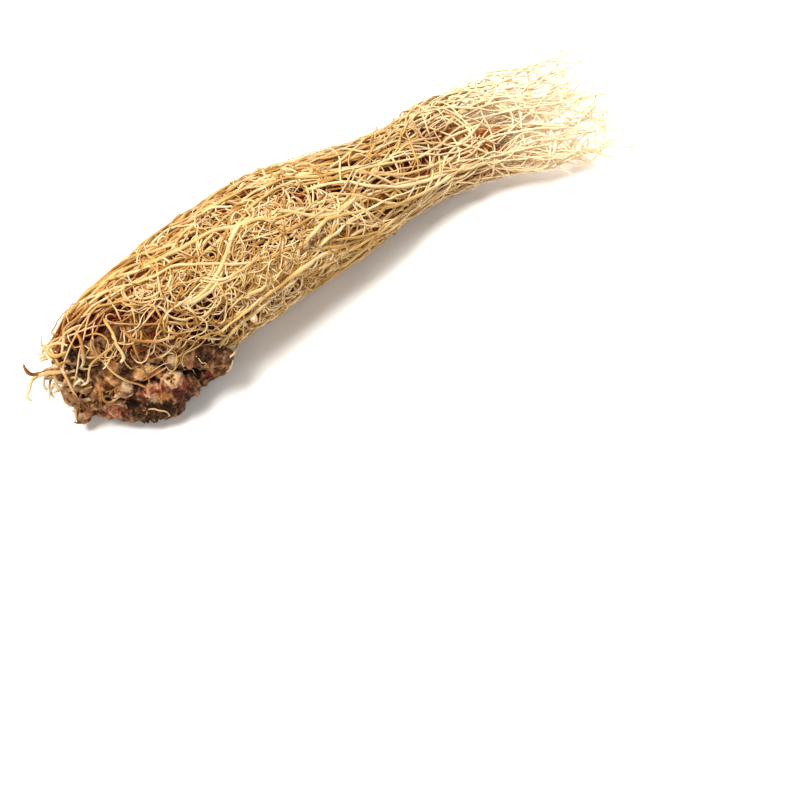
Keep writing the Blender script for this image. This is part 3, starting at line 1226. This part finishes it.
traced = {
    "seed": 77,
    "form": (-92, 91, 80, 60),  # where the sheaf's form starts and ends, its rings and its columns
    "missHeights": range(4, 28, 2),  # where to look for the form along a ray that misses it
    "missGap": 2,
    "radiusShare": 0.31,  # of a strand's width as the photograph shows it
    "endShare": 0.7,
    "endSink": 1.2,
    "sides": 8,
    "sweepSeed": 6,
}
stubs = {"sweep": (0.6, 0.2, 3, 0.2, 1.2), "sides": 10, "tones": (0.8, 1.0), "sweepSeed": 2, "missHeight": 9}


def tracedPaths(strands, form, lift, draw):  # drapes each strand over a form, under the photograph's pixels
    paths = []
    for width, pixels in strands:
        path = []
        for k, (px, py) in enumerate(pixels):
            start, way = pixelRay(px, py)
            hit = form.ray_cast(place(start), way)[0]
            if hit is None:  # past the form's edge, so where the pixel's ray comes nearest to the form
                spots = [place(start + way * ((up - start.z) / way.z)) for up in traced["missHeights"]]
                free = min(spots, key=lambda spot: form.find_nearest(spot)[3])
                hit, _, _, gap = form.find_nearest(free)
                hit = free if gap > traced["missGap"] * mm else hit
            point = hit / mm + middle - way * (lift + draw.uniform(-0.25, 0.5))
            point.y = min(max(point.y, limits["front"]), limits["back"])
            radius = width * traced["radiusShare"]
            if k in (0, len(pixels) - 1):
                point += way * (lift + traced["endSink"])
                radius *= traced["endShare"]
            path.append((point, radius))
        paths.append(roundedPath(path))
    return paths


def roundedPath(path, steps=5):  # a smooth curve through a few points
    rows = [(k, *point, radius) for k, (point, radius) in enumerate(path)]
    count = (len(path) - 1) * steps
    found = [splineRow(rows, (len(path) - 1) * k / count) for k in range(count + 1)]
    return [(Vector(entry[:3]), entry[3]) for entry in found]


def formTree(objects):
    shape = bmesh.new()
    for obj in objects:
        shape.from_mesh(obj.data)
    tree = BVHTree.FromBMesh(shape)
    shape.free()
    return tree


def makeTracedStrands(bark, sweep, skin, scaleSkin):
    draw = random.Random(traced["seed"])
    form = formMesh("sheafForm", onSheaf, *traced["form"])
    sheafTree, crownTree = formTree([form]), formTree([form, bark])
    bpy.data.objects.remove(form)
    for name, strands, tree, lift, step, tones, own, finish in (
        ("surfaceRoots", sheafStrands, sheafTree, 0.0, 1.6, (0.35, 0.95), skin, rootFinish),
        ("crownRoots", crownStrands, crownTree, 0.5, 1.0, (0.12, 0.75), skin, rootFinish),
        ("crescentScales", crescentScales, crownTree, 0.1, 0.8, (0.35, 0.95), scaleSkin, barkFinish),
    ):
        paths = tracedPaths(strands, tree, lift, draw)
        growStrands(name, sweep, paths, traced, own, finish, tones=tones, sweep=(step, 0.9, 8, 0.8, 3.0))
    return sheafTree


def makeStubs(tree, sweep, rows, name, skin):
    paths = []
    for width, spots in rows:
        path = []
        for px, py, out in spots:
            point, way = pixelHit(tree, px, py, stubs["missHeight"])
            path.append((point - way * out, width / 2))
        paths.append(path)
    growStrands(name, sweep, paths, stubs, skin)


# Curls: short hooked roots that stick out past the blunt end
endCurls = {
    "count": 30,
    "seed": 9,
    "step": 0.8,
    "lengths": (6, 12),
    "radii": (0.34, 0.58),
    "starts": ((-87, -82), (-6, 8), (4, 14)),
    "turns": (0.06, 0.26),
    "sweep": (0.9, 1.0, 6, 0.6, 2.6),
    "sides": 7,
    "tones": (0.1, 0.8),
    "sweepSeed": 2,
}


def makeEndCurls(sweep, skin):
    draw = random.Random(endCurls["seed"])
    paths = []
    for _ in range(endCurls["count"]):
        point = Vector([draw.uniform(*ends) for ends in endCurls["starts"]])
        way = Vector((-1, draw.gauss(0.15, 0.45), draw.gauss(-0.1, 0.45))).normalized()
        axis = Vector((draw.gauss(0, 0.5), draw.gauss(0, 1), draw.gauss(0, 1))).normalized()
        turn, radius = draw.uniform(*endCurls["turns"]), draw.uniform(*endCurls["radii"])
        steps = round(draw.uniform(*endCurls["lengths"]) / endCurls["step"])
        path = []
        for k in range(steps + 1):
            spot = Vector((max(point.x, limits["bluntEnd"]), point.y, max(point.z, radius)))
            path.append((spot, radius * (1 - 0.25 * k / steps)))
            way.rotate(Matrix.Rotation(turn * (0.3 + 1.6 * k / steps), 3, axis))
            point = point + way * endCurls["step"]
        paths.append(path)
    growStrands("endCurls", sweep, paths, endCurls, skin)


def makeFloor():
    bpy.ops.mesh.primitive_plane_add(size=6.0, location=(0, 0, 0))
    floor = bpy.context.object
    floor.name = "paleFloor"
    # Matt painted table: almost white, with the faintest mottling
    made, add, shader = newMaterial("mattPaintedTable", 0.7, 0.5)
    where = add("ShaderNodeTexCoord").outputs["Object"]
    grain = add("ShaderNodeTexNoise", {"Vector": where, "Scale": 60.0})
    ramp = setRamp(add("ShaderNodeValToRGB", {0: grain}), ((0.3, "F9F8F6"), (0.7, "FCFBF9")))
    shader.id_data.links.new(ramp.outputs[0], shader.inputs["Base Color"])
    floor.data.materials.append(made)
    floor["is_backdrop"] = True


makeCamera()
makeStudio()
makeFloor()
print("camera, light and floor made")

straw, brownStraw = driedRootSkin("driedRootSkin"), driedRootSkin("agedRootSkin")
tangleSkin = shadedTangle()
# Torn papery scale: brown, dull and paler where it is worn. Dried garden soil: dark, crumbly and matt.
scaleSkin = mottled(
    "tornPaperyScale", ((0.25, "3E2216"), (0.45, "7C5434"), (0.6, "A98258"), (0.8, "D2B386")), 1.6, 0.7, 0.15
)
soilSkin = mottled("driedGardenSoil", ((0.3, "1A0D06"), (0.55, "362010"), (0.75, "5C4028")), 0.4, 0.95, 0.1)
# Fresh broken root: pale fibrous pith. Dried leaf sheath: brown and papery.
brokenSkin = mottled("freshBrokenRoot", ((0.3, "A87E54"), (0.5, "DDBE96"), (0.7, "F2E0C2")), 0.8, 0.6, 0.1)
sheathSkin = mottled("driedLeafSheath", ((0.3, "38200C"), (0.5, "6C4A28"), (0.72, "A88C62")), 1.1, 0.6, 0.2)

sweepTree = rootSweepTree()
makeLongRoots(sweepTree, straw, brownStraw)
print("long roots made")
makeInnerTangle(tangleSkin)
makeRootlets(sweepTree, straw, brownStraw)
print("rootlet net made")
bark = makeRootstock(rhizomeBark())
makeClinging(bark, soilSkin, scaleSkin)
makeBarkRootlets(bark, sweepTree, straw)
print("rootstock made")
sheafTree = makeTracedStrands(bark, sweepTree, straw, scaleSkin)
makeStubs(sheafTree, sweepTree, cutRootEnds, "cutRootEnds", brokenSkin)
makeStubs(sheafTree, sweepTree, sheathFlake, "sheathFlake", sheathSkin)
makeEndCurls(sweepTree, straw)
print("strands and curls made")

total = sum(len(p.vertices) - 2 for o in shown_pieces() if o.type == "MESH" for p in o.data.polygons)
print("triangles in all", total)
